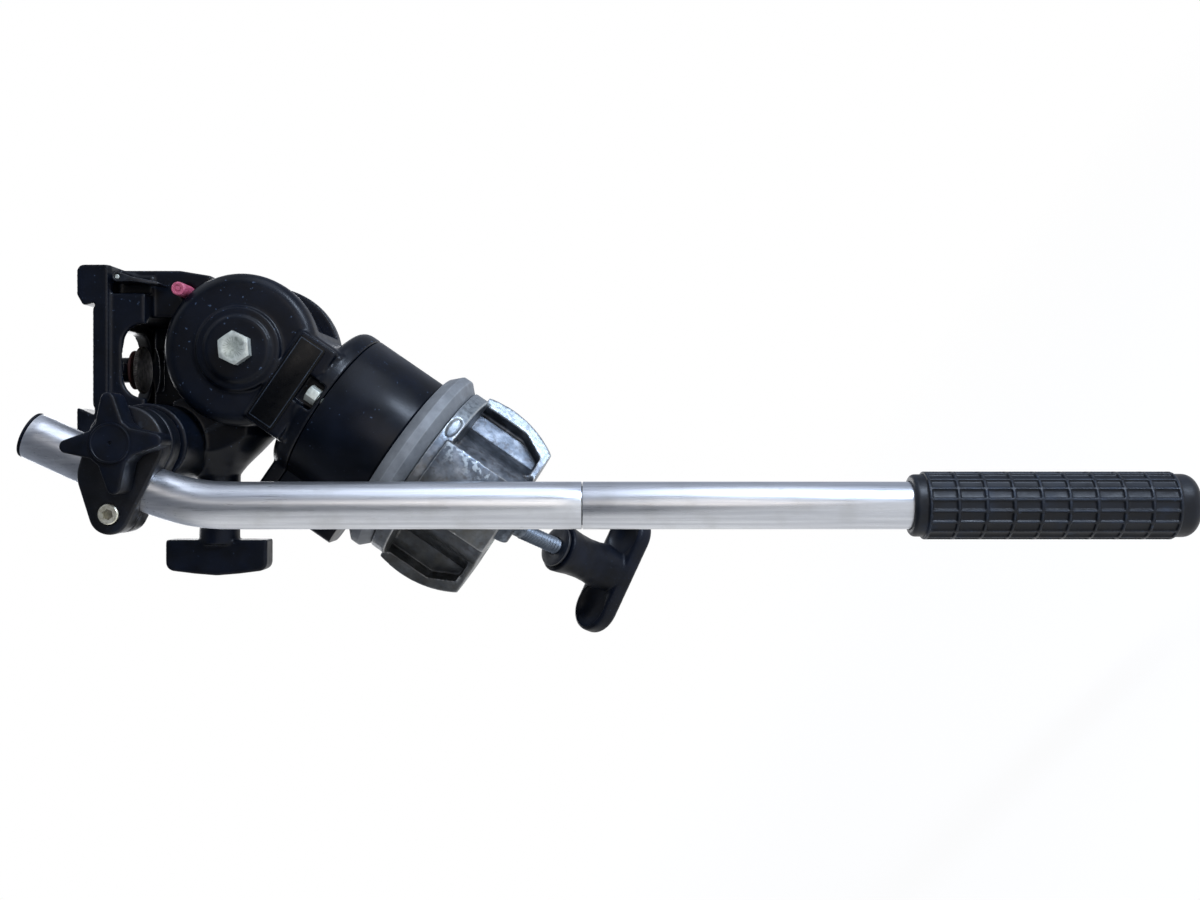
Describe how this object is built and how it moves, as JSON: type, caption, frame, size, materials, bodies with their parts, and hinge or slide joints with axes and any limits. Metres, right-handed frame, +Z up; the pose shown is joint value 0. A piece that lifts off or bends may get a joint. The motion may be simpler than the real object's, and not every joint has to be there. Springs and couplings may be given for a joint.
{
  "type": "fluid video head",
  "caption": "Pan and tilt head for a video camera on a claw half-ball, with a platform with hooks, lock knobs, a tie-down knob and a bent pan bar with a ribbed grip.",
  "frame": {"origin": "centre of the half-ball's sphere, on the pan axis", "axes": "+Z up along the pan axis, +X to the front of the head, tilt axis along Y, pan bar on the -Y side"},
  "size_m": [0.2886, 0.1461, 0.4586],
  "materials": {
    "black_paint": "satin paint on cast aluminium",
    "grey_casting": "bare casting, fine blasted",
    "zinc_steel": "zinc plated",
    "brass": "turned",
    "satin_aluminium": "satin anodised",
    "black_nylon": "moulded, satin",
    "black_rubber": "moulded, matt",
    "grey_felt": "pressed felt and friction lining",
    "red_fibre": "pressed fibre",
    "red_nylon": "moulded, worn",
    "black_label": "smooth film, bare"
  },
  "bodies": {
    "base": {"half_ball": "grey_casting", "base_ring": "grey_casting", "pan_spindle": "zinc_steel", "pan_drag_rotor": "brass", "pan_nut": "zinc_steel", "pan_seal": "grey_felt", "ball_screw_1": "zinc_steel", "ball_screw_2": "zinc_steel", "ball_screw_3": "zinc_steel", "tie_pin": "zinc_steel"},
    "pan_body": {"pan_housing": "black_paint", "fork_body": "black_paint", "flange_screw_near": "zinc_steel", "flange_screw_far": "zinc_steel", "label_plate": "black_label", "pan_bush": "brass", "pan_thrust_washer": "grey_felt", "pan_lock_nut": "zinc_steel", "tilt_bolt": "zinc_steel", "tilt_washer": "zinc_steel", "tilt_nut": "zinc_steel", "tilt_drag_disc_near": "grey_felt", "tilt_drag_disc_far": "grey_felt"},
    "pan_lock": {"pan_lock_knob": "black_nylon", "pan_lock_stud": "zinc_steel"},
    "tilt_body": {"tilt_head": "black_paint", "tilt_bush_near": "brass", "tilt_bush_far": "brass", "lever_pin": "zinc_steel", "tilt_lock_shoe": "brass", "safety_spring": "zinc_steel"},
    "tilt_lock": {"tilt_lock_knob": "black_nylon"},
    "screw_washer": {"camera_screw_washer": "red_fibre"},
    "screw": {"camera_screw": "zinc_steel"},
    "plate_lever": {"plate_lock_lever": "black_paint"},
    "safety": {"safety_pin": "red_nylon"},
    "bar_clamp": {"clamp_back": "black_paint", "clamp_front": "black_paint", "clamp_screw": "zinc_steel"},
    "star": {"star_knob": "black_nylon", "star_stud": "zinc_steel"},
    "pan_bar": {"bar_lower": "satin_aluminium", "bar_upper": "satin_aluminium", "bar_coupler": "zinc_steel", "bar_grip": "black_rubber", "bar_end_plug": "black_nylon"},
    "tie_arm": {"tie_rod": "zinc_steel"},
    "tie_ring": {"tie_washer": "zinc_steel"},
    "tie_grip": {"tie_knob": "black_nylon"}
  },
  "joints": [
    {"name": "pan_turn", "type": "hinge", "parent": "base", "child": "pan_body", "pos_m": [0, 0, 0], "axis": [0, 0, 1], "continuous": true},
    {"name": "pan_lock_turn", "type": "hinge", "parent": "pan_body", "child": "pan_lock", "pos_m": [-0.0452, 0.013, 0.052], "axis": [0, 1, 0], "range_deg": [-360, 45]},
    {"name": "tilt", "type": "hinge", "parent": "pan_body", "child": "tilt_body", "pos_m": [0, 0, 0.112], "axis": [0, 1, 0], "range_deg": [-10, 95]},
    {"name": "tilt_lock_turn", "type": "hinge", "parent": "tilt_body", "child": "tilt_lock", "pos_m": [-0.07576, 0, 0.08153], "axis": [-0.8241, 0, -0.5664], "range_deg": [-360, 45]},
    {"name": "camera_screw_drop", "type": "slide", "parent": "tilt_body", "child": "screw_washer", "axis": [-0.5664, 0, 0.8241], "range_m": [-0.006, 0.0004]},
    {"name": "camera_screw_turn", "type": "hinge", "parent": "screw_washer", "child": "screw", "pos_m": [-0.03683, 0, 0.1527], "axis": [-0.5664, 0, 0.8241], "continuous": true},
    {"name": "plate_lever_swing", "type": "hinge", "parent": "tilt_body", "child": "plate_lever", "pos_m": [-0.00381, -0.028, 0.17369], "axis": [0, 1, 0], "range_deg": [-20, 15]},
    {"name": "safety_press", "type": "slide", "parent": "tilt_body", "child": "safety", "axis": [0, 1, 0], "range_m": [0, 0.003], "stiffness_N_per_m": 200, "deforming": ["safety_spring"]},
    {"name": "bar_swing", "type": "hinge", "parent": "tilt_body", "child": "bar_clamp", "pos_m": [-0.0549, -0.06, 0.11807], "axis": [0, 1, 0], "continuous": true},
    {"name": "star_turn", "type": "hinge", "parent": "tilt_body", "child": "star", "pos_m": [-0.0549, -0.08, 0.11807], "axis": [0, 1, 0], "continuous": true},
    {"name": "bar_slide", "type": "slide", "parent": "bar_clamp", "child": "pan_bar", "axis": [0.1736, 0, -0.9848], "range_m": [0, 0.014]},
    {"name": "tie_swing", "type": "hinge", "parent": "base", "child": "tie_arm", "pos_m": [0, 0, -0.025], "axis": [0.9863, -0.165, 0], "range_deg": [-46, 4]},
    {"name": "tie_travel", "type": "slide", "parent": "tie_arm", "child": "tie_ring", "axis": [-0.0982, -0.5867, 0.8039], "range_m": [-0.0025, 0.01]},
    {"name": "tie_turn", "type": "hinge", "parent": "tie_ring", "child": "tie_grip", "pos_m": [0, 0, -0.025], "axis": [-0.0982, -0.5867, 0.8039], "range_deg": [-720, 2880]}
  ],
  "couplings": [
    {"joint": "tie_travel", "follows": "tie_turn", "m_per_rad": 0.00019894}
  ]
}
